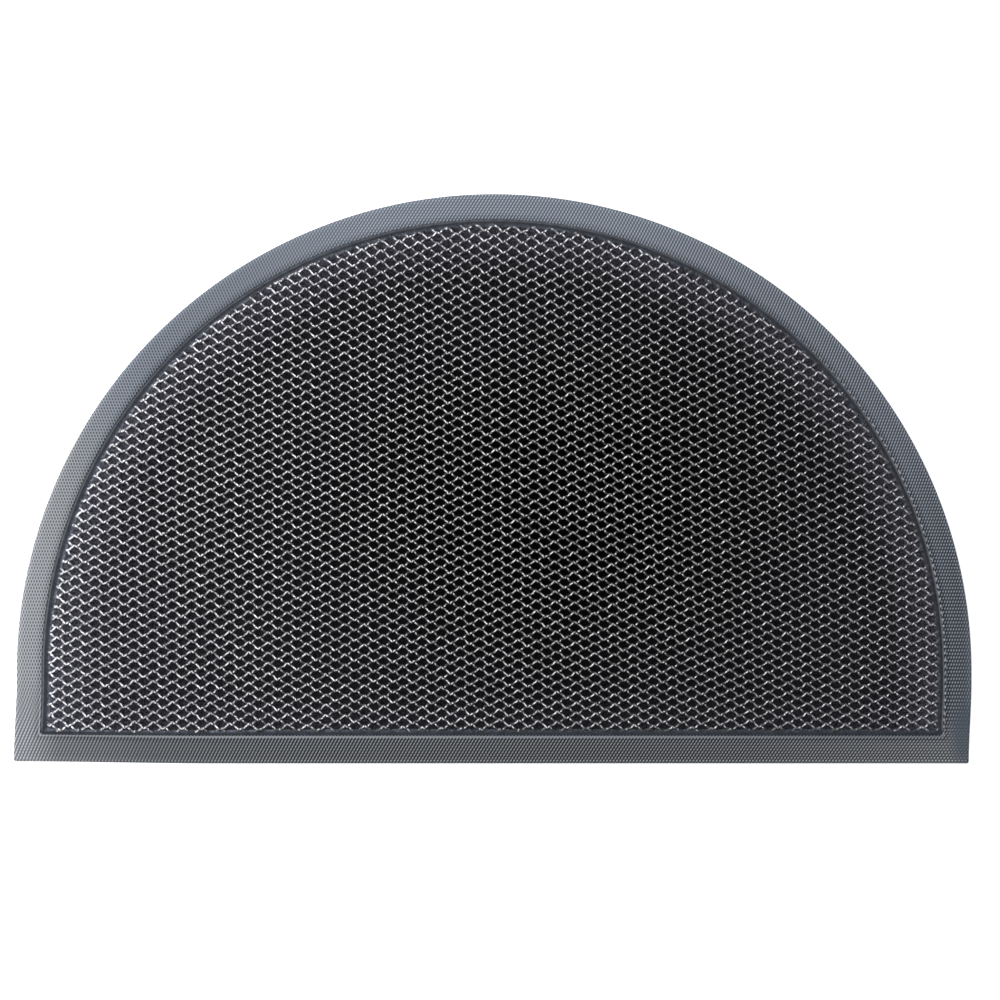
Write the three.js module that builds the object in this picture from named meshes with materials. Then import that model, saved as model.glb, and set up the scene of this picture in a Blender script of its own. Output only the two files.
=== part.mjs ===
// Half round doormat: an open vinyl strand mesh on a solid vinyl backing,
// with an embossed vinyl strip welded round the edge. Millimetres, +Z up.
// The origin is the middle of the mat's box at floor level, the round side faces +Y.

import * as THREE from "three";

// Driving dimensions
const MAT_WIDTH = 750;
const MAT_DEPTH = 447;
const ARC_RADIUS = MAT_WIDTH / 2;
const CLEARANCE = 0.3;

const BACKING_THICKNESS = 1.5;
const BORDER_WIDTH = 21;
const BORDER_HEIGHT = 3.3;
const BORDER_RIM_WIDTH = 6;
const MESH_HEIGHT = 6.3;
const PRESSED_HEIGHT = 2.6;
const PRESSED_WIDTH = 4.2;
const SHOULDER_WIDTH = 6;

// How far the laid mat strays from its true outline
const SIDE_DRIFT = 2.2;
const SIDE_DRIFT_LENGTH = 65;
const LEFT_EDGE_LIFT = 1.7;
const LEFT_EDGE_LIFT_LENGTH = 160;

const CORNER_RADIUS = 1.5;
const ARC_STEPS = 72;
const SIDE_STEPS = 6;
const EDGE_STEPS = 24;
const CORNER_STEPS = 3;

const ARC_CENTRE_Y = MAT_DEPTH / 2 - ARC_RADIUS;
const STRAIGHT_EDGE_Y = -MAT_DEPTH / 2;

const VINYL = {
  strands: { color: 0x3b3c40, roughness: 0.35, metalness: 0 },
  backing: { color: 0x17181b, roughness: 0.6, metalness: 0 },
  border: { color: 0x6a7079, roughness: 0.45, metalness: 0 },
};

function smoothStep(value) {
  const clamped = Math.min(Math.max(value, 0), 1);
  return clamped * clamped * (3 - 2 * clamped);
}

// The laid mat drifts sideways near its two corners and lifts along one end of its straight edge.
function laid(x, y) {
  const nearStraightEdge = smoothStep((STRAIGHT_EDGE_Y + SIDE_DRIFT_LENGTH - y) / SIDE_DRIFT_LENGTH);
  const besideTheSides = (x / ARC_RADIUS) ** 2;
  const nearLeftEnd = smoothStep((LEFT_EDGE_LIFT_LENGTH - ARC_RADIUS - x) / LEFT_EDGE_LIFT_LENGTH);
  const shiftedX = x - SIDE_DRIFT * nearStraightEdge * besideTheSides + SIDE_DRIFT / 2;
  const shiftedY = y + LEFT_EDGE_LIFT * nearStraightEdge * nearLeftEnd;
  return new THREE.Vector2(shiftedX, shiftedY);
}

// The outline moved inward by inset, always with the same count of points, anticlockwise.
function outline(inset) {
  const radius = ARC_RADIUS - inset;
  const edgeY = STRAIGHT_EDGE_Y + inset;
  const corner = CORNER_RADIUS;
  const points = [];
  for (let step = 0; step <= ARC_STEPS; step += 1) {
    const angle = Math.PI * step / ARC_STEPS;
    points.push(laid(radius * Math.cos(angle), ARC_CENTRE_Y + radius * Math.sin(angle)));
  }
  addSide(points, -radius, ARC_CENTRE_Y, edgeY + corner);
  addCorner(points, corner - radius, edgeY + corner, corner, Math.PI);
  addEdge(points, corner - radius, radius - corner, edgeY);
  addCorner(points, radius - corner, edgeY + corner, corner, 1.5 * Math.PI);
  addSide(points, radius, edgeY + corner, ARC_CENTRE_Y);
  return points;
}

// Points between the two ends of a straight side, both ends left out.
function addSide(points, x, startY, endY) {
  for (let step = 1; step < SIDE_STEPS; step += 1) {
    points.push(laid(x, startY + (endY - startY) * step / SIDE_STEPS));
  }
}

function addEdge(points, startX, endX, y) {
  for (let step = 1; step < EDGE_STEPS; step += 1) {
    points.push(laid(startX + (endX - startX) * step / EDGE_STEPS, y));
  }
}

// A quarter turn round a corner, both ends included.
function addCorner(points, centreX, centreY, radius, startAngle) {
  for (let step = 0; step <= CORNER_STEPS; step += 1) {
    const angle = startAngle + Math.PI / 2 * step / CORNER_STEPS;
    points.push(laid(centreX + radius * Math.cos(angle), centreY + radius * Math.sin(angle)));
  }
}

// Joins a row of outlines, each given by its inset and height, into a skin of triangles.
class Skin {
  constructor() {
    this.positions = [];
    this.indices = [];
  }

  addRing(inset, height) {
    const start = this.positions.length / 3;
    const points = outline(inset);
    points.forEach((point) => this.positions.push(point.x, point.y, height));
    return { start, points };
  }

  joinRings(lower, upper) {
    const count = lower.points.length;
    for (let i = 0; i < count; i += 1) {
      const next = (i + 1) % count;
      this.indices.push(lower.start + i, lower.start + next, upper.start + next);
      this.indices.push(lower.start + i, upper.start + next, upper.start + i);
    }
  }

  cap(ring, facesUp) {
    for (const [a, b, c] of THREE.ShapeUtils.triangulateShape(ring.points, [])) {
      const corners = facesUp ? [a, b, c] : [a, c, b];
      this.indices.push(...corners.map((corner) => ring.start + corner));
    }
  }

  geometry() {
    const geometry = new THREE.BufferGeometry();
    geometry.setAttribute("position", new THREE.Float32BufferAttribute(this.positions, 3));
    geometry.setIndex(this.indices);
    geometry.computeVertexNormals();
    return geometry;
  }
}

// A sheet: its profile climbs from the underside to the top, and both are closed flat.
function sheetGeometry(profile) {
  const skin = new Skin();
  const rings = profile.map(({ inset, height }) => skin.addRing(inset, height));
  for (let i = 1; i < rings.length; i += 1) {
    skin.joinRings(rings[i - 1], rings[i]);
  }
  skin.cap(rings[0], false);
  skin.cap(rings[rings.length - 1], true);
  return skin.geometry();
}

// A strip round the mat: its profile closes on itself.
function stripGeometry(profile) {
  const skin = new Skin();
  const rings = profile.map(({ inset, height }) => skin.addRing(inset, height));
  rings.forEach((ring, i) => skin.joinRings(ring, rings[(i + 1) % rings.length]));
  return skin.geometry();
}

function vinylPiece(name, geometry, finish) {
  const mesh = new THREE.Mesh(geometry, new THREE.MeshStandardMaterial(finish));
  mesh.name = name;
  return mesh;
}

// The solid sheet under everything, its edge hidden inside the border strip's rim.
function makeBacking() {
  const inset = BORDER_RIM_WIDTH + CLEARANCE;
  const profile = [
    { inset, height: 0 },
    { inset, height: BACKING_THICKNESS },
  ];
  return vinylPiece("backing", sheetGeometry(profile), VINYL.backing);
}

// The strip lies on the backing's margin, and its outer rim turns down to the floor.
function makeBorder() {
  const seatHeight = BACKING_THICKNESS + CLEARANCE;
  const profile = [
    { inset: BORDER_RIM_WIDTH, height: 0 },
    { inset: 0.5, height: 0 },
    { inset: 0, height: 0.5 },
    { inset: 0, height: BORDER_HEIGHT - 1.4 },
    { inset: 0.5, height: BORDER_HEIGHT - 0.7 },
    { inset: 2, height: BORDER_HEIGHT - 0.3 },
    { inset: 6, height: BORDER_HEIGHT - 0.05 },
    { inset: 12, height: BORDER_HEIGHT },
    { inset: BORDER_WIDTH - 3, height: BORDER_HEIGHT - 0.1 },
    { inset: BORDER_WIDTH - 1, height: BORDER_HEIGHT - 0.2 },
    { inset: BORDER_WIDTH - 0.2, height: BORDER_HEIGHT - 0.5 },
    { inset: BORDER_WIDTH, height: BORDER_HEIGHT - 0.9 },
    { inset: BORDER_WIDTH, height: seatHeight },
    { inset: BORDER_RIM_WIDTH, height: seatHeight },
  ];
  return vinylPiece("border", stripGeometry(profile), VINYL.border);
}

// The block that the strand mesh fills, its rim pressed flat where it is welded to the backing.
function makeMeshPanel() {
  const rim = BORDER_WIDTH + CLEARANCE;
  const pressedEnd = rim + PRESSED_WIDTH;
  const shoulderEnd = pressedEnd + SHOULDER_WIDTH;
  const middleHeight = (PRESSED_HEIGHT + MESH_HEIGHT) / 2;
  const profile = [
    { inset: rim, height: BACKING_THICKNESS + CLEARANCE },
    { inset: rim, height: PRESSED_HEIGHT - 0.2 },
    { inset: pressedEnd, height: PRESSED_HEIGHT },
    { inset: pressedEnd + SHOULDER_WIDTH / 3, height: middleHeight },
    { inset: shoulderEnd - SHOULDER_WIDTH / 4, height: MESH_HEIGHT - 0.4 },
    { inset: shoulderEnd, height: MESH_HEIGHT },
  ];
  return vinylPiece("mesh_panel", sheetGeometry(profile), VINYL.strands);
}

const group = new THREE.Group();
group.add(makeBacking(), makeMeshPanel(), makeBorder());

export default group;
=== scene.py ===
# %% [markdown]
# A half round vinyl doormat, seen from straight above.
# The mat is three things welded together: a solid backing sheet, an open lattice of extruded
# strands laid on it, and an embossed strip round the edge. The frame gives their sizes, so the
# first step is to load it and to measure the box that everything has to stay in.

# %% Load the frame
import math

import bmesh
import bpy
import numpy as np
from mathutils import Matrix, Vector


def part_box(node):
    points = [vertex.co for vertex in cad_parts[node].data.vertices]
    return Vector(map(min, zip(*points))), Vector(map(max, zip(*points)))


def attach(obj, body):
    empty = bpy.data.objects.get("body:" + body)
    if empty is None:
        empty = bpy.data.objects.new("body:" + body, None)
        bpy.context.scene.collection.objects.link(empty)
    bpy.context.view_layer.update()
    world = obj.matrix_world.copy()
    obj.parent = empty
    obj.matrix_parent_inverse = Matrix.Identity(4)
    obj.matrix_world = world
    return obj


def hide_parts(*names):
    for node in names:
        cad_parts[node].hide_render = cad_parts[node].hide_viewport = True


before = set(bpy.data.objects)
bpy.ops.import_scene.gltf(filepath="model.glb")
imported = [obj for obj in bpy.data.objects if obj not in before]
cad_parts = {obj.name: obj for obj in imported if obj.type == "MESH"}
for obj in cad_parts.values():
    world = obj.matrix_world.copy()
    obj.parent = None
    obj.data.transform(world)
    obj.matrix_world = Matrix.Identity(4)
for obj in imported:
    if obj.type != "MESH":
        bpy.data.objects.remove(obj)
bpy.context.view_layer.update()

MM = 0.001
print("nodes:", sorted(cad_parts))

# %% [markdown]
# The outline is a half circle on two short straight sides and one long straight edge. Laid on
# a floor, the real mat isn't quite true: both lower corners drift about 2 mm to the left, and
# the left end of the straight edge lifts a little. A bezier outline could be drawn by eye, but
# a formula keeps every ring of the mat parallel, so one function gives the outline at any
# distance inward from the edge.

# %% Sizes of the mat, in metres
border_low, border_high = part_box("border")
SIDE_DRIFT = 2.2 * MM
SIDE_DRIFT_LENGTH = 65 * MM
LEFT_EDGE_LIFT = 1.7 * MM
LEFT_EDGE_LIFT_LENGTH = 160 * MM
CORNER_RADIUS = 1.5 * MM
INNER_CORNER_RADIUS = 2.6 * MM

# The border isn't quite the same width all round.
BORDER_WIDTH = 20.9 * MM
WIDER_TO_THE_RIGHT = 0.55 * MM
NARROWER_TO_THE_TOP = 1.05 * MM

ARC_RADIUS = (border_high.x - border_low.x - SIDE_DRIFT) / 2
STRAIGHT_EDGE_Y = border_low.y
ARC_CENTRE_Y = border_high.y - ARC_RADIUS

BACKING_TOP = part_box("backing")[1].z
BORDER_TOP = border_high.z
MESH_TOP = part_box("mesh_panel")[1].z
print("arc radius in mm:", round(ARC_RADIUS / MM, 1))
print("tops in mm:", [round(top / MM, 2) for top in (BACKING_TOP, BORDER_TOP, MESH_TOP)])


# %% The mat's outline
def smooth_step(value):
    """0 below 0, 1 above 1, and a smooth climb between them."""
    value = np.clip(value, 0, 1)
    return value * value * (3 - 2 * value)


def drift(x, y):
    """How far the laid mat has moved from its true place, as a shift in x and in y."""
    near_edge = smooth_step((STRAIGHT_EDGE_Y + SIDE_DRIFT_LENGTH - y) / SIDE_DRIFT_LENGTH)
    near_left = smooth_step((LEFT_EDGE_LIFT_LENGTH - ARC_RADIUS - x) / LEFT_EDGE_LIFT_LENGTH)
    across = SIDE_DRIFT / 2 - SIDE_DRIFT * near_edge * (x / ARC_RADIUS) ** 2
    return across, LEFT_EDGE_LIFT * near_edge * near_left


def border_width(out_x, out_y):
    """The border's width where the mat's edge faces the direction (out_x, out_y)."""
    return BORDER_WIDTH + WIDER_TO_THE_RIGHT * out_x - NARROWER_TO_THE_TOP * out_y


for side, facing in {"left": (-1, 0), "right": (1, 0), "top": (0, 1), "bottom": (0, -1)}.items():
    print("border at the", side, round(border_width(*facing) / MM, 2), "mm wide")


# %% Rings inside the outline
def true_ring(inset, spacing, share=0.0):
    """The true outline moved inward, and the direction that each of its points faces.

    Points are about spacing apart on the outline itself. With a share of 1 the ring follows
    the border's inner edge, which isn't the same distance in all round.
    """
    arc_steps = round(math.pi * ARC_RADIUS / spacing)
    side_steps = max(round((ARC_CENTRE_Y - STRAIGHT_EDGE_Y) / spacing), 2)
    edge_steps = round(2 * ARC_RADIUS / spacing)

    def inward(out_x, out_y):
        return inset + share * (border_width(out_x, out_y) - BORDER_WIDTH)

    turn = np.linspace(0, math.pi, arc_steps + 1)
    facing = np.stack([np.cos(turn), np.sin(turn)], axis=1)
    reach = ARC_RADIUS - inward(facing[:, 0], facing[:, 1])
    arc = reach[:, None] * facing + np.array([0, ARC_CENTRE_Y])
    left_x, right_x, edge_y = -reach[-1], reach[0], STRAIGHT_EDGE_Y + inward(0, -1)
    rounding = CORNER_RADIUS + share * (INNER_CORNER_RADIUS - CORNER_RADIUS)
    down = np.linspace(ARC_CENTRE_Y, edge_y + rounding, side_steps + 1)[1:-1, None]
    along = np.linspace(left_x + rounding, right_x - rounding, edge_steps + 1)[1:-1, None]
    quarter = np.linspace(0, math.pi / 2, 4)

    def corner(centre_x, start):
        facing = np.stack([np.cos(start + quarter), np.sin(start + quarter)], axis=1)
        return np.array([centre_x, edge_y + rounding]) + rounding * facing, facing

    parts = [(arc, facing)]
    parts.append((down * [0, 1] + [left_x, 0], down * 0 + [-1, 0]))
    parts.append(corner(left_x + rounding, math.pi))
    parts.append((along * [1, 0] + [0, edge_y], along * 0 + [0, -1]))
    parts.append(corner(right_x - rounding, 1.5 * math.pi))
    parts.append((down[::-1] * [0, 1] + [right_x, 0], down * 0 + [1, 0]))
    points, directions = zip(*parts)
    return np.concatenate(points), np.concatenate(directions)


edge = true_ring(0, 5 * MM)[0]
steps = edge - np.roll(edge, 1, axis=0)
print("the mat's edge is", round(np.hypot(*steps.T).sum(), 2), "m long")


# %% From the true outline to the laid mat and back
def lay(points):
    """True points, x and y first, moved to where the laid mat has them."""
    moved = points.copy()
    across, up = drift(points[:, 0], points[:, 1])
    moved[:, 0] += across
    moved[:, 1] += up
    return moved


def past_border(x, y):
    """How far inside the border's inner edge a laid point is, and the direction that edge faces."""
    across, up = drift(x - SIDE_DRIFT / 2, y)
    x, y = x - across, y - up
    above_centre = np.maximum(y - ARC_CENTRE_Y, 0)
    reach = np.maximum(np.hypot(x, above_centre), MM)
    out_x, out_y = x / reach, above_centre / reach
    from_side = ARC_RADIUS - reach - border_width(out_x, out_y)
    from_edge = y - STRAIGHT_EDGE_Y - border_width(0, -1)
    beside_edge = from_edge < from_side
    out_x, out_y = np.where(beside_edge, 0, out_x), np.where(beside_edge, -1, out_y)
    return np.minimum(from_side, from_edge), out_x, out_y


# %% [markdown]
# Every piece is a grid of points folded into a surface: rings across the mat's edge, or rings
# along a strand. Blender can build a mesh face by face, but for hundreds of thousands of faces
# it is quicker to work the points out as arrays and to hand them over in one go.

# %% Turn arrays of points into a piece
def new_piece(name, points, quads, triangles=(), **traits):
    """A smooth-shaded mesh object from points and faces of four and three corners.

    A trait is a number for each point, which the piece's finish can read by its name.
    """
    triangles = np.array(triangles, int).reshape(-1, 3)
    corners = np.concatenate([np.ravel(quads), np.ravel(triangles)]).astype(np.int32)
    sizes = np.concatenate([np.full(len(quads), 4), np.full(len(triangles), 3)])
    mesh = bpy.data.meshes.new(name)
    mesh.vertices.add(len(points))
    mesh.vertices.foreach_set("co", np.ravel(points).astype(np.float32))
    mesh.loops.add(len(corners))
    mesh.loops.foreach_set("vertex_index", corners)
    mesh.polygons.add(len(sizes))
    starts = np.concatenate([[0], np.cumsum(sizes)[:-1]]).astype(np.int32)
    mesh.polygons.foreach_set("loop_start", starts)
    mesh.update(calc_edges=True)
    mesh.shade_smooth()
    for trait, values in traits.items():
        numbers = mesh.attributes.new(trait, "FLOAT", "POINT").data
        numbers.foreach_set("value", values.astype(np.float32))
    piece = bpy.data.objects.new(name, mesh)
    bpy.context.scene.collection.objects.link(piece)
    print(name, "has", len(quads) * 2 + len(triangles), "triangles")
    return piece


def joined_rings(first, second, count):
    """Faces between two rings of count points each, given where each ring starts."""
    here = np.arange(count)
    there = (here + 1) % count
    return np.stack([first + here, first + there, second + there, second + here], axis=1)


# %% [markdown]
# A finish is a small program of nodes. Written out node by node it is hard to read, so a Wire
# stands for one socket and lets Python's own signs add the Math nodes.

# %% Write shader maths as expressions
class Wire:
    """A value on its way through a finish's nodes."""

    def __init__(self, finish, socket):
        self.finish = finish
        self.socket = socket

    def maths(self, operation, *values):
        return self.finish.node("ShaderNodeMath", {"operation": operation}, dict(enumerate(values)))

    def __add__(self, other):
        return self.maths("ADD", self, other)

    def __sub__(self, other):
        return self.maths("SUBTRACT", self, other)

    def __rsub__(self, other):
        return self.maths("SUBTRACT", other, self)

    def __mul__(self, other):
        return self.maths("MULTIPLY", self, other)

    def __truediv__(self, other):
        return self.maths("DIVIDE", self, other)

    def __rtruediv__(self, other):
        return self.maths("DIVIDE", other, self)

    def __pow__(self, other):
        return self.maths("POWER", self, other)

    def __rpow__(self, other):
        return self.maths("POWER", other, self)

    __radd__ = __add__
    __rmul__ = __mul__

    def cosine(self):
        return self.maths("COSINE", self)

    def at_least(self, lowest):
        return self.maths("MAXIMUM", self, lowest)

    def at_most(self, highest):
        return self.maths("MINIMUM", self, highest)

    def ramp_up(self, low, high):
        """0 below low, 1 above high, and a smooth climb between them."""
        settings = {"interpolation_type": "SMOOTHSTEP"}
        inputs = {"Value": self, "From Min": low, "From Max": high}
        return self.finish.node("ShaderNodeMapRange", settings, inputs)


# %% [markdown]
# A Finish is a material on one Principled shader. It makes any other node with one method,
# which takes the node's type, its settings and what goes into its sockets. The rest of the
# methods are short names for the nodes that these finishes use.

# %% Make a finish from nodes
class Finish:
    """A material made from nodes, on one Principled shader."""

    def __init__(self, name, **constants):
        self.material = bpy.data.materials.new(name)
        self.material.use_nodes = True
        self.tree = self.material.node_tree
        self.shader = self.tree.nodes["Principled BSDF"]
        self.shader_inputs(constants)

    def node(self, kind, settings=None, inputs=None, output=0):
        """Adds a node, its settings first, then its sockets' values or links; gives one output."""
        made = self.tree.nodes.new(kind)
        for key, value in (settings or {}).items():
            setattr(made, key, value)
        self.feed(made, inputs or {})
        return Wire(self, made.outputs[output])

    def feed(self, made, inputs):
        """Links wires to a node's sockets, and sets plain numbers and colours on them."""
        for key, value in inputs.items():
            socket = made.inputs[key]
            if isinstance(value, Wire):
                self.tree.links.new(value.socket, socket)
            elif isinstance(value, tuple) and len(value) == 3 and socket.type == "RGBA":
                socket.default_value = (*value, 1)
            else:
                socket.default_value = value

    def shader_inputs(self, inputs):
        """Feeds the shader; a socket's name may have _ for its spaces."""
        self.feed(self.shader, {key.replace("_", " "): value for key, value in inputs.items()})

    def place(self):
        """The point on the mat, as a vector and as its x, y and z."""
        vector = self.node("ShaderNodeTexCoord", output="Object")
        return vector, *(self.node("ShaderNodeSeparateXYZ", None, {0: vector}, axis) for axis in "XYZ")

    def trait(self, name):
        """A number that the piece's own points carry."""
        return self.node("ShaderNodeAttribute", {"attribute_name": name}, output="Fac")

    def facing(self):
        """The surface's own direction, as x, y and z."""
        normal = self.node("ShaderNodeNewGeometry", output="Normal")
        return [self.node("ShaderNodeSeparateXYZ", None, {0: normal}, axis) for axis in "XYZ"]

    def noise(self, vector, scale, detail):
        """An unevenness of about 0.3 to 0.7, with a scale in lumps per metre."""
        inputs = {"Vector": vector, "Scale": scale, "Detail": detail}
        return self.node("ShaderNodeTexNoise", None, inputs, "Fac")

    def mix(self, factor, first, second):
        """A colour between two others."""
        inputs = {"Factor": factor, 6: first, 7: second}
        settings = {"data_type": "RGBA"}
        return self.node("ShaderNodeMix", settings, inputs, 2)

    def tint(self, factor, colour, with_colour):
        """A colour multiplied by another."""
        inputs = {"Factor": factor, 6: colour, 7: with_colour}
        settings = {"data_type": "RGBA", "blend_type": "MULTIPLY"}
        return self.node("ShaderNodeMix", settings, inputs, 2)

    def bump(self, height, distance, strength):
        """The shader's normal, tilted by a height from 0 to 1 that stands for a distance."""
        inputs = {"Height": height, "Distance": distance, "Strength": strength}
        return self.node("ShaderNodeBump", None, inputs)

    def put_on(self, *pieces):
        for piece in pieces:
            piece.data.materials.clear()
            piece.data.materials.append(self.material)
        print(self.material.name, "has", len(self.tree.nodes), "nodes")


# %% [markdown]
# The camera comes before the pieces. The photograph is taken from straight above, with no
# side of the mat wider than the other, so the camera is high up with a long lens. Its middle
# isn't quite the mat's middle, and the numbers are where the frame's centre falls on the mat.

# %% Camera over the mat
PHOTO_PIXEL = 0.7857 * MM
PHOTO_SIDE = 1000
CAMERA_HEIGHT = 4.0
VIEW_CENTRE = (5.8 * MM, -16.7 * MM)

camera = bpy.data.objects.new("camera", bpy.data.cameras.new("camera"))
bpy.context.scene.collection.objects.link(camera)
camera.location = (*VIEW_CENTRE, CAMERA_HEIGHT)
camera.data.sensor_width = 36
camera.data.lens = camera.data.sensor_width * CAMERA_HEIGHT / (PHOTO_PIXEL * PHOTO_SIDE)
camera.data.clip_end = 100
bpy.context.scene.camera = camera
print("lens", round(camera.data.lens, 1))

# %% [markdown]
# The backing is a plain sheet of solid vinyl. Nothing of it shows from above but the dark
# floor of each cell in the lattice, so it needs no relief. A thickened plane would have sharp
# edges, so rings of points run from its underside round its rounded edge and over its top,
# and a fan of triangles closes each side.

# %% Backing sheet
BACKING_INSET = 6.3 * MM
BACKING_SPACING = 6 * MM
EDGE_ROUNDING = 0.3 * MM
RING_GAP = 24 * MM


def closed_by_fan(ring_start, count, centre, upward):
    """Triangles from a ring's points to one point in its middle."""
    here = np.arange(count)
    there = (here + 1) % count
    first, second = (here, there) if upward else (there, here)
    return np.stack([ring_start + first, ring_start + second, np.full(count, centre)], axis=1)


def make_backing():
    lower = [(RING_GAP, 0), (EDGE_ROUNDING, 0), (0, EDGE_ROUNDING)]
    upper = [(0, BACKING_TOP - EDGE_ROUNDING), (EDGE_ROUNDING, BACKING_TOP), (RING_GAP, BACKING_TOP)]
    rings = []
    for further_in, height in lower + upper:
        ring = lay(true_ring(BACKING_INSET + further_in, BACKING_SPACING)[0])
        rings.append(np.column_stack([ring, np.full(len(ring), height)]))
    count = len(rings[0])
    quads = [joined_rings(i * count, (i + 1) * count, count) for i in range(len(rings) - 1)]
    points = np.concatenate(rings)
    middle_y = rings[0][:, 1].mean()
    points = np.concatenate([points, [[0, middle_y, 0], [0, middle_y, BACKING_TOP]]])
    caps = [closed_by_fan(0, count, len(points) - 2, False)]
    caps.append(closed_by_fan((len(rings) - 1) * count, count, len(points) - 1, True))
    return new_piece("backing_sheet", points, np.concatenate(quads), np.concatenate(caps))


backing = make_backing()

# %% [markdown]
# The lattice is two families of strands. One family falls to the right and the other rises to
# the right, and each strand has a kink where it passes over the other family: it runs long,
# doubles back a little on top, then runs on and dives under. The rising strand is the falling
# one mirrored. Copies of one cell made by an array modifier would leave a seam at each cell and
# couldn't follow the mat's slight stretch, so each strand is swept whole along its own path.

# %% One repeat of a strand
# Along and down are in repeats of the lattice; level is 0 under the other strand and 1 on top.
# The rest is how brightly a strand glints there: the falling and the rising family at the left
# side of the mat, then both at the right side.
STRAND_PATH = np.array([
    # along, down, level, falling and rising at the left, falling and rising at the right
    (-0.005, 0.000, 0.72, 0.98, 0.78, 0.52, 1.22),
    (0.070, 0.140, 0.93, 1.08, 0.78, 0.38, 1.38),
    (0.150, 0.285, 1.00, 1.12, 0.75, 0.24, 1.20),
    (0.215, 0.405, 0.98, 0.95, 0.78, 0.16, 0.55),
    (0.242, 0.446, 0.86, 0.70, 0.92, 0.15, 0.24),
    (0.272, 0.405, 0.93, 0.80, 0.85, 0.38, 0.24),
    (0.330, 0.315, 1.00, 1.00, 0.72, 0.84, 0.32),
    (0.385, 0.240, 0.86, 1.00, 0.78, 0.86, 0.44),
    (0.418, 0.290, 0.45, 0.80, 0.70, 0.48, 0.98),
    (0.415, 0.385, 0.74, 1.15, 0.95, 0.78, 1.78),
    (0.455, 0.480, 0.90, 1.20, 1.00, 0.90, 1.95),
    (0.510, 0.585, 0.74, 0.80, 0.75, 0.58, 1.62),
    (0.590, 0.705, 0.30, 0.45, 0.45, 0.20, 0.70),
    (0.740, 0.860, 0.00, 0.40, 0.40, 0.16, 0.28),
    (0.890, 0.945, 0.25, 0.60, 0.55, 0.26, 0.48),
])
SHINES = {"falling": (3, 5), "rising": (4, 6)}
RISING_START = (0.514, 0.175)
STRAND_SIDES = 6
STRAND_TURN = np.arange(STRAND_SIDES) * 2 * math.pi / STRAND_SIDES + math.pi / 2
STRAND_RADIUS = 1.05 * MM
LOW_CENTRE = BACKING_TOP + 0.95 * STRAND_RADIUS
HIGH_CENTRE = MESH_TOP - 1.35 * STRAND_RADIUS
print("strand centres from", round(LOW_CENTRE / MM, 2), "to", round(HIGH_CENTRE / MM, 2))

# %% [markdown]
# The lattice isn't perfectly even: its rows slope down to the right by about two degrees, and
# they spread, sag and curl a little towards the sides, as soft vinyl does. Measured at some
# 1,800 cells, that is a smooth surface, so a short table of powers gives it to half a
# millimetre.

# %% Where the lattice lies
SPAN = 20
LATTICE = [
    # power of along, power of down, then x and y in mm at SPAN repeats from the middle
    (0, 0, 6.56, -17.80), (0, 1, 2.29, -156.13), (0, 2, 0.42, -0.66),
    (0, 3, -0.28, -1.29), (0, 4, -0.15, 0.78), (1, 0, 297.13, -13.15),
    (1, 1, 5.94, 1.22), (1, 2, 1.18, 0.70), (1, 3, -1.72, 0.61),
    (2, 0, 0.17, -4.01), (2, 1, 0.28, -3.48), (2, 2, -0.66, 2.30),
    (3, 0, 3.94, 1.07), (3, 1, -4.88, -0.43), (4, 0, 0.29, 2.32),
]


def on_mat(along, down):
    """A place in the lattice as x and y on the mat."""
    a, b = along / SPAN, down / SPAN
    x = sum(across * a**i * b**j for i, j, across, _ in LATTICE)
    y = sum(up * a**i * b**j for i, j, _, up in LATTICE)
    return x * MM, y * MM


middle = on_mat(0, 0)
for way, place in {"along": on_mat(1, 0), "down": on_mat(0, 1)}.items():
    step = [round((there - here) / MM, 2) for here, there in zip(middle, place)]
    print("one repeat", way, "is", step, "mm across and up")

# %% [markdown]
# At its rim the lattice is pressed flat and welded to the backing. It could be cut off there,
# but the cut ends would show, so a strand that comes within a few millimetres of the border
# sinks, goes flat, and runs on under the welded band until it is hidden by the border. One
# ramp drives the strand's height, its thickness and how wide it is squeezed.

# %% How the lattice is pressed beside the border
WELD_WIDTH = 3.6 * MM
WELD_WIDER_AT_RIGHT = 0.4 * MM
WELD_WIDER_AT_LEFT = 1.7 * MM
WELD_WIDER_AT_TOP = 0.8 * MM
WELD_NARROWER_AT_LOWER_LEFT = 1.2 * MM
WELD_SLOPE = 2.6 * MM
RAGGED = 0.5 * MM
BRIGHT_ENDS = 3.0 * MM
WELD_TOP = BACKING_TOP + 0.7 * MM
PRESSED_CENTRE = WELD_TOP - 0.35 * STRAND_RADIUS
# A pressed strand's thickness and width, as shares of a free one's.
PRESSED_THICKNESS = 0.32
PRESSED_WIDTH = 1.25
print("weld top at", round(WELD_TOP / MM, 2), "mm, strands' middle", round(PRESSED_CENTRE / MM, 2))


def weld_width(x, out_x, out_y):
    """The weld's width at x, where the border's inner edge faces the direction (out_x, out_y)."""
    wider = np.where(out_x > 0, WELD_WIDER_AT_RIGHT, WELD_WIDER_AT_LEFT) * out_x**2
    wider = wider + WELD_WIDER_AT_TOP * np.maximum(out_y, 0) ** 2
    lower_left = smooth_step((-100 * MM - x) / (200 * MM)) * np.maximum(-out_y, 0) ** 2
    return WELD_WIDTH + wider - WELD_NARROWER_AT_LOWER_LEFT * lower_left


def ragged(x, y):
    """How far the weld's edge strays, strand by strand."""
    return RAGGED * np.sin(x / (1.9 * MM) + 1.7 * np.sin(y / (2.3 * MM)))


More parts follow.
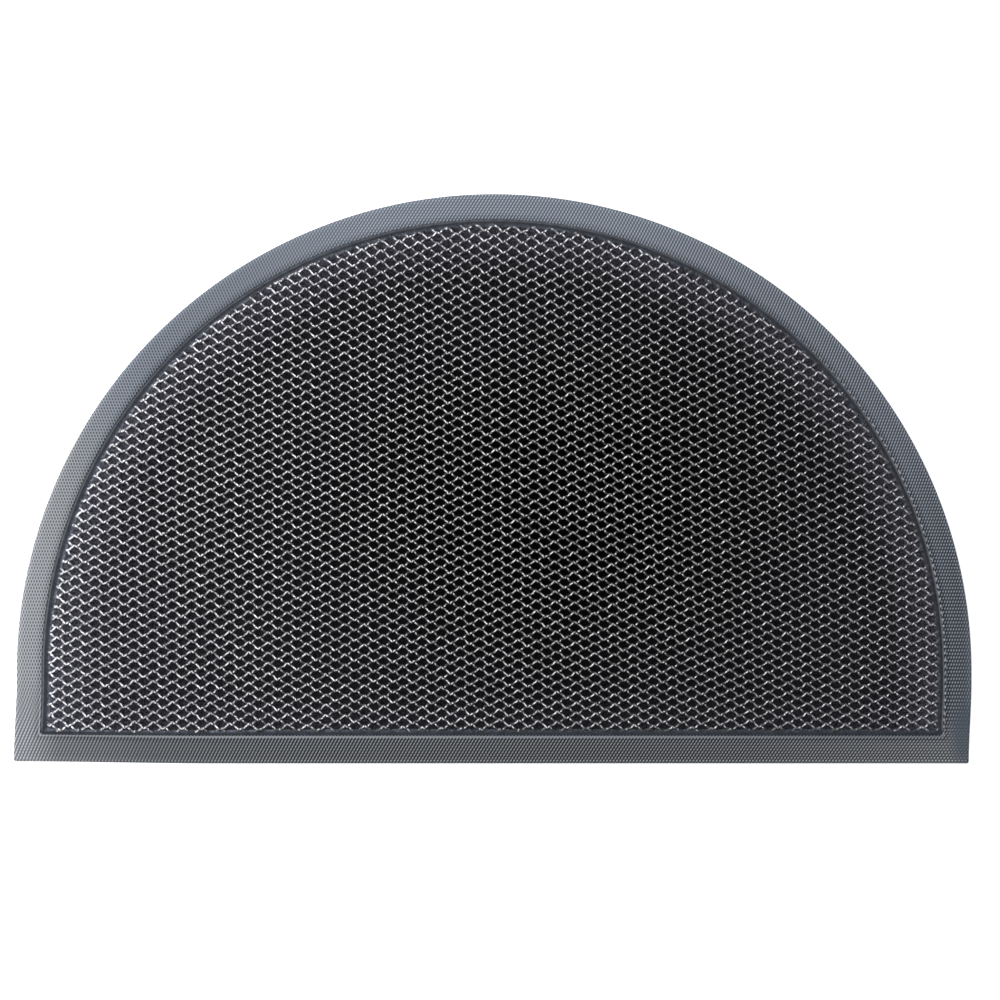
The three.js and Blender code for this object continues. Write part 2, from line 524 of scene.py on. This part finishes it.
def how_free(x, y):
    """How the lattice stands at a place near the border.

    Gives 0 where it is pressed flat and 1 where it stands free, how far the place is past the
    border, and how bright the strands' ends are there: beside the weld even their low parts
    lie in the light, most of all at the left and at the top.
    """
    past, out_x, out_y = past_border(x, y)
    past_weld = past - weld_width(x, out_x, out_y) - ragged(x, y)
    # Round the arc the ends are bright but for the far right, and along the edge at its left.
    round_arc = 0.12 + 0.70 * smooth_step((300 * MM - x) / (150 * MM))
    along_edge = 0.25 + 0.55 * smooth_step((-100 * MM - x) / (200 * MM))
    bright = np.where(out_y < -0.5, along_edge, round_arc)
    bright = bright * (1 - smooth_step((past_weld - BRIGHT_ENDS) / BRIGHT_ENDS))
    return smooth_step(past_weld / WELD_SLOPE), past, bright


# %% Sweep the strands
def swept(path, free):
    """Rings of points round a path, flatter and wider where the strand isn't free."""
    ahead = np.gradient(path, axis=0)
    ahead /= np.linalg.norm(ahead, axis=1)[:, None]
    side = np.stack([-ahead[:, 1], ahead[:, 0], np.zeros(len(path))], axis=1)
    side /= np.linalg.norm(side, axis=1)[:, None]
    above = np.cross(ahead, side)
    thick = STRAND_RADIUS * (PRESSED_THICKNESS + (1 - PRESSED_THICKNESS) * free)
    wide = STRAND_RADIUS * (PRESSED_WIDTH + (1 - PRESSED_WIDTH) * free)
    rings = path[:, None] + side[:, None] * np.cos(STRAND_TURN)[None, :, None] * wide[:, None, None]
    rings = rings + above[:, None] * np.sin(STRAND_TURN)[None, :, None] * thick[:, None, None]
    return rings.reshape(-1, 3)


def strand_faces(start, rings):
    """The sides of a strand whose first point is number start."""
    firsts = [start + ring * STRAND_SIDES for ring in range(rings - 1)]
    return np.concatenate([joined_rings(first, first + STRAND_SIDES, STRAND_SIDES) for first in firsts])


def end_caps(start, rings):
    """Triangles over both ends of a strand whose first point is number start."""
    around = np.arange(1, STRAND_SIDES - 1)
    last = start + (rings - 1) * STRAND_SIDES
    first_cap = np.stack([np.full_like(around, start), start + around + 1, start + around], axis=1)
    last_cap = np.stack([np.full_like(around, last), last + around, last + around + 1], axis=1)
    return np.concatenate([first_cap, last_cap])


# %% [markdown]
# No two cells of the real lattice are quite alike. Each point of a strand strays a little from
# its path, and each few points glint more or less. The draws come from one seeded source, so
# the mat is the same at each run. For its glints the finish reads three traits of each point:
# how free it is, how brightly it shines and how high it seems to stand.

# %% A little chance in each strand
# How far a strand's points stray along, down and in level.
UNEVEN = np.array([0.011, 0.022, 0.035])
GLINT_STEPS = 4
DULLEST, BRIGHTEST = 0.64, 1.36
REPEATS = np.arange(-32, 32)
chance = np.random.default_rng(45)


def strand_course(family, row):
    """A whole strand's path in the lattice, as along, down and level, a little uneven."""
    course = STRAND_PATH[None, :, :3] + REPEATS[:, None, None] * np.array([1, 1, 0])
    course = course.reshape(-1, 3)
    course = course + chance.normal(0, 1, course.shape) * UNEVEN
    if family == "falling":
        return course + np.array([0, row, 0])
    return course * np.array([1, -1, 1]) + np.array([RISING_START[0], row + RISING_START[1], 0])


def strand_shine(family, x):
    """How brightly a whole strand glints at each of its points, with some chance in it."""
    left, right = (np.tile(STRAND_PATH[:, column], len(REPEATS)) for column in SHINES[family])
    glints = np.arange(0, len(x) + GLINT_STEPS, GLINT_STEPS)
    luck = np.interp(np.arange(len(x)), glints, chance.uniform(DULLEST, BRIGHTEST, len(glints)))
    towards_right = smooth_step((x + 0.6 * ARC_RADIUS) / (1.4 * ARC_RADIUS))
    return luck * (left + (right - left) * towards_right)


def stretches(inside):
    """The runs of neighbouring points that are inside."""
    edges = np.flatnonzero(np.diff(np.concatenate([[0], inside.astype(int), [0]])))
    return [(a, b) for a, b in edges.reshape(-1, 2) if b - a > 3]


# %% Make the strands
HIDDEN_END = -1.5 * MM
ROWS = range(-64, 66)


def make_strands(family, rows, name):
    """All the strands in these rows of one family, as one piece."""
    points, quads, caps, used = [], [], [], 0
    traits = {"free": [], "shine": [], "stands": []}
    around = np.sin(STRAND_TURN) * STRAND_RADIUS
    for row in rows:
        along, down, level = strand_course(family, row).T
        x, y = on_mat(along, down)
        free, past, bright = how_free(x, y)
        standing = LOW_CENTRE + (HIGH_CENTRE - LOW_CENTRE) * level
        path = np.column_stack([x, y, PRESSED_CENTRE + (standing - PRESSED_CENTRE) * free])
        shine = strand_shine(family, x)
        shine = shine + bright * np.maximum(1 - shine, 0)
        seen = standing + bright * (HIGH_CENTRE - standing)
        for start, end in stretches(past > HIDDEN_END):
            points.append(swept(path[start:end], free[start:end]))
            traits["free"].append(np.repeat(free[start:end], STRAND_SIDES))
            traits["shine"].append(np.repeat(shine[start:end], STRAND_SIDES))
            traits["stands"].append(np.ravel(seen[start:end, None] + around))
            quads.append(strand_faces(used, end - start))
            caps.append(end_caps(used, end - start))
            used += (end - start) * STRAND_SIDES
    joined = {trait: np.concatenate(values) for trait, values in traits.items()}
    return new_piece(name, np.concatenate(points), np.concatenate(quads), np.concatenate(caps), **joined)


# Each family is made in two halves, so that no piece has too many triangles.
strands = []
for family in ("falling", "rising"):
    for half, rows in (("upper", ROWS[:64]), ("lower", ROWS[64:])):
        strands.append(make_strands(family, rows, f"{family}_strands_{half}"))

# %% [markdown]
# Between the border and the first free strands runs a smooth band where heat and pressure
# have melted the lattice into the backing. It is lower than both, and it rises and falls a
# little. A plain strip beside the border would do for its colour, but it has to close over the
# strands' hidden ends, so it is a ring of its own, as wide at each place as the weld is.

# %% Welded band
BAND_PROFILE = [
    # past the border's inner edge, above the weld, in mm
    (-1.6, -0.40), (-0.6, 0.05), (0.2, 0.10), (1.2, 0.06),
    (2.4, 0.00), (3.4, -0.10), (4.2, -0.30), (5.0, -0.62),
]
BAND_SPACING = 1.6 * MM
BAND_INNER_HALF = 4 * MM
BAND_DEPTH_IN_BACKING = 0.2 * MM


def waver(x, y):
    """How far the melted vinyl rises and falls, in mm."""
    long_waves = 0.10 * np.sin(x / (7.1 * MM) + 2 * np.sin(y / (31 * MM)))
    short_waves = 0.08 * np.sin(y / (5.3 * MM) + x / (19 * MM))
    return long_waves + short_waves


def make_band():
    rings, crossed = [], []
    for past, height in BAND_PROFILE:
        past = past * MM
        inner = smooth_step(past / BAND_INNER_HALF)
        ring, out = true_ring(BORDER_WIDTH + past, BAND_SPACING, share=1)
        wider = (weld_width(ring[:, 0], *out.T) - WELD_WIDTH) * inner
        ring = lay(ring - wider[:, None] * out)
        z = WELD_TOP + (height + waver(*ring.T) * inner) * MM
        rings.append(np.column_stack([ring, z]))
        crossed.append(np.full(len(ring), past))
    count = len(rings[0])
    bottom = np.array([0, 0, BACKING_TOP - BAND_DEPTH_IN_BACKING])
    rings += [ring * np.array([1, 1, 0]) + bottom for ring in (rings[-1], rings[0])]
    crossed += [crossed[-1], crossed[0]]
    quads = [joined_rings(i * count, (i + 1) % len(rings) * count, count) for i in range(len(rings))]
    points = np.concatenate(rings)
    return new_piece("welded_band", points, np.concatenate(quads), past=np.concatenate(crossed))


band = make_band()

# %% [markdown]
# The border strip is embossed with rows of fine slanted dots. Texture alone would vanish at
# its edges, so the dots are in the mesh: its height is the sum of three sets of waves, which
# makes a honeycomb of dots, and one set is stronger, which slants them. Round the arc it is
# one pattern, stretched a little towards its rim, and the strip along the straight edge has
# a pattern of its own. The rows of numbers say how strong each set of waves is by place.

# %% The embossed pattern
# Crests per metre: across and up at the middle, and how much more at the arc's own radius.
ARC_CRESTS = (339, 45, 178, 28)
BOTTOM_CRESTS = (384, -64, 229)
# Across the mat from -1 to 1, the strength of the rising, the falling and the level set, and
# how much painted light makes the strip paler, most of all at the left.
ARC_LOOK = np.array([
    (-1.00, 0.50, 0.44, -0.12, 0.87), (-0.97, 0.36, 0.34, -0.22, 0.82), (-0.87, 0.24, 0.36, -0.26, 0.58),
    (-0.71, 0.13, 0.31, -0.17, 0.39), (-0.50, 0.13, 0.25, -0.04, 0.50), (-0.26, 0.40, 0.18, 0.11, 0.77),
    (0.00, 0.48, 0.15, 0.20, 0.77), (0.26, 0.52, 0.30, 0.00, 0.72), (0.50, 0.60, 0.30, 0.00, 0.55),
    (0.71, 0.78, 0.15, 0.15, 0.40), (0.87, 0.80, 0.20, 0.35, 0.34), (0.97, 0.52, 0.30, 0.45, 0.17),
    (1.00, 0.20, 0.14, 0.08, 0.15),
])
BOTTOM_LOOK = np.array([
    (-0.98, 0.60, 0.25, 0.15, 0.84), (-0.91, 0.42, 0.17, 0.10, 0.30), (-0.72, 0.38, 0.11, 0.06, 0.10),
    (-0.41, 0.74, 0.20, 0.20, 0.02), (-0.09, 0.90, 0.36, 0.32, 0.01), (0.22, 1.08, 0.62, 0.39, 0.01),
    (0.54, 1.18, 0.73, 0.47, 0.06), (0.85, 1.16, 0.75, 0.52, 0.24), (0.96, 0.68, 0.56, 0.46, 0.40),
])
LOOKS = ("rising", "falling", "level", "painted_light")
EMBOSS_DEPTH = 0.10 * MM
# Where the one pattern gives way to the other, up the left side and up the right side: how far
# above the straight edge that starts, and over what length.
CHANGE_STARTS = (18 * MM, 13 * MM)
CHANGE_LENGTH = (56 * MM, 27 * MM)
STRIPED = 0.55
# Near the lower right corner the dots have been ironed out.
PATCH_CENTRE = (371 * MM, -202 * MM)
PATCH_REACH = (12 * MM, 26 * MM)
PATCH_EDGE = 1.4
PATCH_FLATNESS = 0.9
print("dots", round(1 / (ARC_CRESTS[0] * MM), 2), "mm apart on the arc and",
      round(1 / (BOTTOM_CRESTS[0] * MM), 2), "mm along the straight edge")


# %% Waves that make dots
def arc_crests(x, y):
    """How many crests a place on the arc is across and up from the arc's centre."""
    up = (y - ARC_CENTRE_Y) / ARC_RADIUS
    across = x / ARC_RADIUS
    stretch = across * across + up * up
    crests_across = x * (stretch * ARC_CRESTS[1] + ARC_CRESTS[0])
    crests_up = (y - ARC_CENTRE_Y) * (up * ARC_CRESTS[3] + ARC_CRESTS[2])
    return crests_across, crests_up


def bottom_crests(x, y):
    """How many crests a place on the straight strip is across and up from its middle."""
    up = (y - STRAIGHT_EDGE_Y) / ARC_RADIUS
    crests_across = x * (up * BOTTOM_CRESTS[1] + BOTTOM_CRESTS[0])
    return crests_across, (y - STRAIGHT_EDGE_Y) * BOTTOM_CRESTS[2]


def cosine(crests):
    """A wave with its crests at whole numbers, for arrays as well as for a finish's wires."""
    turned = crests * (2 * math.pi)
    return turned.cosine() if isinstance(turned, Wire) else np.cos(turned)


def dots(crests, strengths):
    """The height of the dots, about -1 to 1, for arrays as well as for a finish's wires."""
    across, up = crests
    rising, falling, level = strengths
    return cosine(across - up) * rising + cosine(across + up) * falling + cosine(up * 2) * level


# %% How the dots differ from place to place
def beside_arc(x, y):
    """0 on the strip along the straight edge, 1 on the arc and the short sides."""
    start = np.where(x < 0, *CHANGE_STARTS)
    length = np.where(x < 0, *CHANGE_LENGTH)
    return smooth_step((y - STRAIGHT_EDGE_Y - start) / length)


def look_by_place(x, y):
    """The three strengths and the painted light at a place on the strip, by name."""
    across, arc = x / ARC_RADIUS, beside_arc(x, y)
    looks = {}
    for column, name in enumerate(LOOKS, start=1):
        bottom = np.interp(across, BOTTOM_LOOK[:, 0], BOTTOM_LOOK[:, column])
        above = np.interp(across, ARC_LOOK[:, 0], ARC_LOOK[:, column])
        looks[name] = bottom + (above - bottom) * arc
    # Towards the mesh the strip along the straight edge has slanted stripes more than dots.
    across_strip = np.clip((y - STRAIGHT_EDGE_Y) / BORDER_WIDTH, 0, 1)
    looks["falling"] = looks["falling"] * (1 - STRIPED * across_strip * (1 - arc))
    return looks


def smooth_patch(x, y):
    """1 where the dots have been ironed out, 0 elsewhere."""
    across = (x - PATCH_CENTRE[0]) / PATCH_REACH[0]
    up = (y - PATCH_CENTRE[1]) / PATCH_REACH[1]
    return smooth_step(PATCH_EDGE - np.hypot(across, up))


def emboss(x, y):
    """How far a place on the strip's top stands above or below its mean height."""
    strengths = list(look_by_place(x, y).values())[:3]
    bottom = dots(bottom_crests(x, y), strengths)
    above = dots(arc_crests(x, y), strengths)
    height = bottom + (above - bottom) * beside_arc(x, y)
    return EMBOSS_DEPTH * height * (1 - PATCH_FLATNESS * smooth_patch(x, y))


# %% [markdown]
# The strip itself is turned down to the floor at its outer edge and ends in a low lip over the
# weld. A curve with a bevel could sweep such a section round the outline, but its points
# wouldn't follow the dots. So the section is a list of rows, and each row becomes a ring round
# the mat, three points to a dot, raised by the embossed pattern where the row lies on top.

# %% Border strip
BORDER_SPACING = 0.86 * MM
# Rows of points across the strip, in mm: how far in, how far below its top, and then how much
# of the dots they have.
OUTER_ROWS = [
    (6.0, 3.3, 0), (0.6, 3.3, 0), (0.1, 2.9, 0), (0, 2.4, 0),
    (0, 1.5, 0), (0.12, 1.0, 0.1), (0.5, 0.55, 0.4),
]
INNER_ROWS = [
    (19.7, 0.12, 0.4), (20.2, 0.06, 0), (20.6, 0.2, 0), (20.85, 0.6, 0),
    (20.9, 1.0, 0), (20.9, 1.45, 0), (6.0, 1.5, 0),
]
# The top between them lies a little lower than the lip, and rolls down towards both edges.
TOP_ROWS = np.linspace(0.055, 0.92, 27)
TOP_BELOW, OUTER_ROLL, INNER_ROLL = 0.10, 0.22, 0.12


def top_row(share):
    below = TOP_BELOW + OUTER_ROLL * (1 - share) ** 6 + INNER_ROLL * share**8
    return share * BORDER_WIDTH / MM, below, 1


def make_border():
    rows = OUTER_ROWS + [top_row(share) for share in TOP_ROWS] + INNER_ROWS
    rings, insets = [], []
    for inset, below, embossed in rows:
        ring = lay(true_ring(inset * MM, BORDER_SPACING, share=inset * MM / BORDER_WIDTH)[0])
        z = BORDER_TOP - below * MM + embossed * emboss(*ring.T)
        rings.append(np.column_stack([ring, z]))
        insets.append(np.full(len(ring), inset * MM / BORDER_WIDTH))
    count = len(rings[0])
    quads = [joined_rings(i * count, (i + 1) % len(rings) * count, count) for i in range(len(rings))]
    points = np.concatenate(rings)
    x, y, _ = points.T
    traits = {"inset": np.concatenate(insets), "patch": smooth_patch(x, y), "arc": beside_arc(x, y)}
    return new_piece("border_strip", points, np.concatenate(quads), **traits, **look_by_place(x, y))


border = make_border()

# %% [markdown]
# The finishes. All of them are vinyl. Only the rounded tops of the strands catch the light, in
# glints of different strength that are painted highlights in the colour, and painted shade keeps
# their flanks almost black. One colour with a low roughness would shine wherever a lamp is
# mirrored, so the finish paints the glints by the way each bit of surface faces and by how high
# it is. Where the lattice is pressed into the weld it is dull. A pale veil lies in the cells
# nearer the rim; at the far left it is painted light, and it also makes the painted glints
# stronger there.

# %% Pale veil and painted light
PALE_VEIL = (0.0520, 0.0522, 0.0655)
# The spot where the veil is thinnest, and how far across and up from there the wide veil reaches.
LEAST_VEILED = (55 * MM, -20 * MM)
VEIL_REACH = (374 * MM, 273 * MM)
# The most that each share of the veil comes to; the share at the far left is painted light.
WIDE_VEIL, LIGHT_AT_FAR_LEFT, BESIDE_RIM, BESIDE_STRAIGHT_EDGE = 0.27, 0.17, 0.40, 0.12
VEIL_LUMPS = 650


def pale_veil_and_light(x, y):
    """0 near the middle of the mat, nearly 1 in the cells at its lower left corner; painted light at the
    far left.
    """
    across = (x - LEAST_VEILED[0]) / VEIL_REACH[0]
    up = (y - LEAST_VEILED[1]) / VEIL_REACH[1]
    wide = ((across * across + up * up) ** 0.5).ramp_up(0.1, 1.3) * WIDE_VEIL
    # At the far left the veil is painted light from the left.
    lit_far_left = x.ramp_up(-250 * MM, -390 * MM) * LIGHT_AT_FAR_LEFT
    above = (y - ARC_CENTRE_Y).at_least(0)
    from_side = ARC_RADIUS - (x * x + above * above) ** 0.5
    rim = from_side.ramp_up(78 * MM, 22 * MM) ** 1.5 * BESIDE_RIM
    lower_rim = (y - STRAIGHT_EDGE_Y).ramp_up(60 * MM, 22 * MM) * BESIDE_STRAIGHT_EDGE
    return wide + lit_far_left + rim + lower_rim


def mottled(finish, vector):
    """A fine unevenness of the pale veil, 1 on the whole."""
    return finish.noise(vector, VEIL_LUMPS, 2).ramp_up(0.3, 0.72) * 1.5 + 0.3


# %% Strand finish
# Painted highlight colours for the glints, and the painted shade of the flanks.
GLINT, VEILED_GLINT = (0.84, 0.83, 0.835), (0.82, 0.82, 0.865)
SHADED_FLANK = (0.002, 0.002, 0.0025)
PRESSED = (0.030, 0.033, 0.040)
# From where to where along x the light from the left tells more, and the strands look beaded.
LIT = (-100 * MM, -360 * MM)
BEADED = (-100 * MM, 300 * MM)
STRAND_TOPS = (HIGH_CENTRE + 0.15 * STRAND_RADIUS, HIGH_CENTRE + 0.95 * STRAND_RADIUS)
# The painted glints break up into bright specks: how many to a metre, how they differ and their limits.
SPECKS, SPECK_CONTRAST, SPECK_OFFSET = 900, 9.5, 3.80
DULLEST_SPECK, BRIGHTEST_SPECK, BRIGHTER_BEADED = 0.05, 1.16, 0.12
GLINT_STRENGTH, STRONGER_VEILED, WEAKER_LIT = 0.665, 0.22, 0.29

strand_vinyl = Finish("strand_vinyl", Roughness=0.4)
strand_vinyl.shader_inputs({"Specular IOR Level": 0.1})
vector, x, y, _ = strand_vinyl.place()
face_x, _, face_z = strand_vinyl.facing()
veil_and_light = pale_veil_and_light(x, y)
lit = x.ramp_up(*LIT)
beaded = x.ramp_up(*BEADED)

high = strand_vinyl.trait("stands").ramp_up(*STRAND_TOPS)
high = high * 0.92 + 0.04 + veil_and_light * 0.25
glint_specks = strand_vinyl.noise(vector, SPECKS, 1.5) * SPECK_CONTRAST - SPECK_OFFSET
glint_specks = glint_specks.at_most(beaded * BRIGHTER_BEADED + BRIGHTEST_SPECK).at_least(DULLEST_SPECK)
glint = face_z.ramp_up(0.80 - lit * 0.25 + beaded * 0.08, 1.0) * high * glint_specks
glint = glint * strand_vinyl.trait("shine")
glint = glint * (GLINT_STRENGTH + veil_and_light * STRONGER_VEILED - lit * WEAKER_LIT)
# Besides the glints there is a weak even light on the left flanks and on all upper sides.
left_flanks = (0 - face_x).ramp_up(0.2, 0.8) * lit * 0.05
upper_sides = face_z.ramp_up(-0.2, 0.8) * (high * 0.065 + 0.034 + veil_and_light * 0.06)
glint = glint + left_flanks + upper_sides

shaded_flank = strand_vinyl.mix(veil_and_light * mottled(strand_vinyl, vector), SHADED_FLANK, PALE_VEIL)
bright = strand_vinyl.mix(veil_and_light * 2, GLINT, VEILED_GLINT)
standing_free = strand_vinyl.mix(glint, shaded_flank, bright)
free = strand_vinyl.trait("free").ramp_up(0.0, 0.25)
strand_vinyl.shader_inputs({"Base Color": strand_vinyl.mix(free, PRESSED, standing_free)})
strand_vinyl.put_on(*strands)

# %% Backing finish
# The backing's own black, darkened further by painted shade in the deep cells; the pale veil over it is
# partly painted light.
SHADED_BACKING = (0.0003, 0.0003, 0.0004)

backing_vinyl = Finish("backing_vinyl", Roughness=0.8)
backing_vinyl.shader_inputs({"Specular IOR Level": 0.02})
vector, x, y, _ = backing_vinyl.place()
veil_and_light = pale_veil_and_light(x, y) * mottled(backing_vinyl, vector)
backing_vinyl.shader_inputs({"Base Color": backing_vinyl.mix(veil_and_light, SHADED_BACKING, PALE_VEIL)})
backing_vinyl.put_on(backing)

# %% [markdown]
# Round the arc a thin rim of melted vinyl was squeezed out beside the border, and past it
# painted shade makes the band darkest, in the crease beside the border. Towards the mesh it is
# smeared and speckled, most of all at the left. Painting that by hand would take an image. Here
# one trait says how far past the border a point lies, and ramps of it lay the rim, the painted
# dark line and the smears side by side.

# %% Band finish
# Dark melted vinyl, with painted shade darkest in the crease beside the border; the smears are paler.
DARK_SHADED_MELT, SMEARED_MELT = (0.010, 0.012, 0.017), (0.112, 0.124, 0.152)
SQUEEZED_RIM = (0.115, 0.121, 0.132)
LUMPS, GRAINS, FLECKS = 160, 700, 480

band_vinyl = Finish("band_vinyl", Roughness=0.5)
band_vinyl.shader_inputs({"Specular IOR Level": 0.06})
vector, x, y, _ = band_vinyl.place()
past = band_vinyl.trait("past")
mottle = band_vinyl.noise(vector, LUMPS, 4).ramp_up(0.3, 0.7) * 0.5
mottle = mottle + band_vinyl.noise(vector, GRAINS, 2).ramp_up(0.35, 0.7) * 0.5
towards_left = 0.32 + x.ramp_up(200 * MM, -330 * MM) * 0.85
smears = mottle * (past.ramp_up(2.2 * MM, 4.8 * MM) * towards_left + 0.12)
flecks = band_vinyl.noise(vector, FLECKS, 2).ramp_up(0.5, 0.7)
smears = smears + flecks * past.ramp_up(2.0 * MM, 3.6 * MM) * 0.5
melted = band_vinyl.mix(smears, DARK_SHADED_MELT, SMEARED_MELT)

to_side = x * x * (1 / ARC_RADIUS**2)
squeezed = 1 - (past + to_side * 0.5 * MM).ramp_up(0.9 * MM, 1.7 * MM)
squeezed = squeezed * (y - STRAIGHT_EDGE_Y).ramp_up(23 * MM, 30 * MM)
squeezed = squeezed * (0.22 + to_side**3 * 0.62 + mottle * 0.25)
band_vinyl.shader_inputs({"Base Color": band_vinyl.mix(squeezed, melted, SQUEEZED_RIM)})
band_vinyl.put_on(band)

# %% [markdown]
# The border is a satin grey-blue. Its dots are pale with painted light and the hollows between
# them nearly black with painted shade. The mesh has only three points to a dot, so the finish
# works the same waves out again, and uses them for the colour and for a fine bump. Along the
# straight edge the lip beside the mesh shines in a painted highlight line, and on the right side
# of the arc it has a row of beads with painted glints.

# %% Border finish
# Hollows and dots in painted shade and in painted light; the painted light picks between them.
SHADED_HOLLOW, SHADED_DOT = (0.001, 0.001, 0.002), (0.146, 0.154, 0.166)
LIT_HOLLOW, LIT_DOT = (0.076, 0.081, 0.089), (0.322, 0.336, 0.360)
BLUER = (0.93, 1.0, 1.11)
IRONED_OUT = (0.040, 0.052, 0.068)
BEAD_GLINT = (0.290, 0.270, 0.260)
# The tone of the strip's sides, between a hollow's and a dot's.
PLAIN_SIDE = 0.42
BEADS_PER_METRE = 190

border_vinyl = Finish("border_vinyl", Roughness=0.45)
border_vinyl.shader_inputs({"Specular IOR Level": 0.08})
vector, x, y, z = border_vinyl.place()
arc, inset, patch = (border_vinyl.trait(name) for name in ("arc", "inset", "patch"))
strengths = [border_vinyl.trait(name) for name in LOOKS[:3]]
bottom_dots = dots(bottom_crests(x, y), strengths)
height = bottom_dots + (dots(arc_crests(x, y), strengths) - bottom_dots) * arc
on_top = z.ramp_up(BORDER_TOP - 1.2 * MM, BORDER_TOP - 0.7 * MM)
# Raised dots take painted light and hollows painted shade; the same height makes the bump.
raised = PLAIN_SIDE + (height.ramp_up(-0.55, 0.95) - PLAIN_SIDE) * on_top

at_left = x.ramp_up(-200 * MM, -330 * MM)
# A painted highlight line along the lip beside the mesh, on the straight edge.
lip = inset.ramp_up(0.90, 0.925) * (1 - inset.ramp_up(0.965, 0.985))
lip = lip * (1 - arc) * (1 - x.ramp_up(50 * MM, 300 * MM) * 0.5)
tone = raised + lip * 1.2 * (1 - at_left * 0.5)
# Painted shade in a line along the border's inner edge at the left.
inner_edge_shade = inset.ramp_up(0.94, 0.975) * at_left * 0.3
# Painted glints on a row of beads along the lip at the right of the arc.
bead_glints = (y * (2 * math.pi * BEADS_PER_METRE)).cosine() + border_vinyl.noise(vector, 420, 1) * 2.4
bead_glints = bead_glints.ramp_up(1.2, 2.0) * inset.ramp_up(0.91, 0.94) * (1 - inset.ramp_up(0.985, 1.0))
bead_glints = bead_glints * x.ramp_up(200 * MM, 340 * MM) * arc

# %% Border colours
# Painted light: the strip is paler at the left and at its rounded outer edge, and painted shade darkens
# it towards the inner edge.
painted_light = border_vinyl.trait("painted_light")
painted_light = painted_light + (1 - inset.ramp_up(0.0, 0.25)) * 0.25 - inset.ramp_up(0.7, 0.95) * 0.3
hollow = border_vinyl.mix(painted_light, SHADED_HOLLOW, LIT_HOLLOW)
dot = border_vinyl.mix(painted_light, SHADED_DOT, LIT_DOT)
embossed = border_vinyl.mix(inner_edge_shade, border_vinyl.mix(tone, hollow, dot), SHADED_HOLLOW)
embossed = border_vinyl.mix(bead_glints * 0.8, embossed, BEAD_GLINT)
embossed = border_vinyl.tint(arc * x.ramp_up(-340 * MM, -280 * MM), embossed, BLUER)
border_vinyl.shader_inputs({"Base Color": border_vinyl.mix(patch * 0.75, embossed, IRONED_OUT)})
border_vinyl.shader_inputs({"Normal": border_vinyl.bump(raised * (1 - patch), 0.25 * MM, 0.8)})
border_vinyl.put_on(border)

# %% [markdown]
# The mat lies on a plain pale floor under soft studio light, brighter from the left. The floor
# could be a plane from the menu, and here a few lines make the same grid from code. It glows a
# little, because a white floor lit as softly as the mat would come out grey.

# %% Floor
FLOOR_REACH = 4
FLOOR_GLOW = 0.25


def make_floor():
    bm = bmesh.new()
    bmesh.ops.create_grid(bm, x_segments=8, y_segments=8, size=FLOOR_REACH)
    mesh = bpy.data.meshes.new("floor")
    bm.to_mesh(mesh)
    bm.free()
    floor = bpy.data.objects.new("floor", mesh)
    bpy.context.scene.collection.objects.link(floor)
    paint = Finish("pale_floor", Base_Color=(0.9, 0.9, 0.9), Roughness=0.9)
    paint.shader_inputs({"Emission Color": (1.0, 1.0, 1.0), "Emission Strength": FLOOR_GLOW})
    paint.put_on(floor)
    return floor


floor = make_floor()


# %% Lights
def add_light(name, place, size, power, aim=(0, 0, 0)):
    """A square lamp at a place in metres, turned towards its aim, with its power in watts."""
    data = bpy.data.lights.new(name, "AREA")
    data.shape = "SQUARE"
    data.size = size
    data.energy = power
    light = bpy.data.objects.new(name, data)
    bpy.context.scene.collection.objects.link(light)
    light.location = place
    towards = (np.array(aim) - np.array(place)).tolist()
    light.rotation_euler = Vector(towards).to_track_quat("-Z", "Y").to_euler()
    print(name, "gives", power, "W")


add_light("window_left", (-0.95, 0.15, 0.55), size=0.6, power=14, aim=(-0.2, 0, 0))
add_light("overhead", (0.0, 0.1, 2.2), size=1.2, power=40)
world = bpy.data.worlds.new("studio")
world.use_nodes = True
world.node_tree.nodes["Background"].inputs["Color"].default_value = (1, 1, 1, 1)
world.node_tree.nodes["Background"].inputs["Strength"].default_value = 0.35
bpy.context.scene.world = world
bpy.context.scene.view_settings.view_transform = "Standard"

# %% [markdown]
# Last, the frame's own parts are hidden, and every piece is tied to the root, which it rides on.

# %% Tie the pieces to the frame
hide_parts("backing")
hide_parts("border")
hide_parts("mesh_panel")
for piece in (backing, border, band, *strands):
    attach(piece, "root")
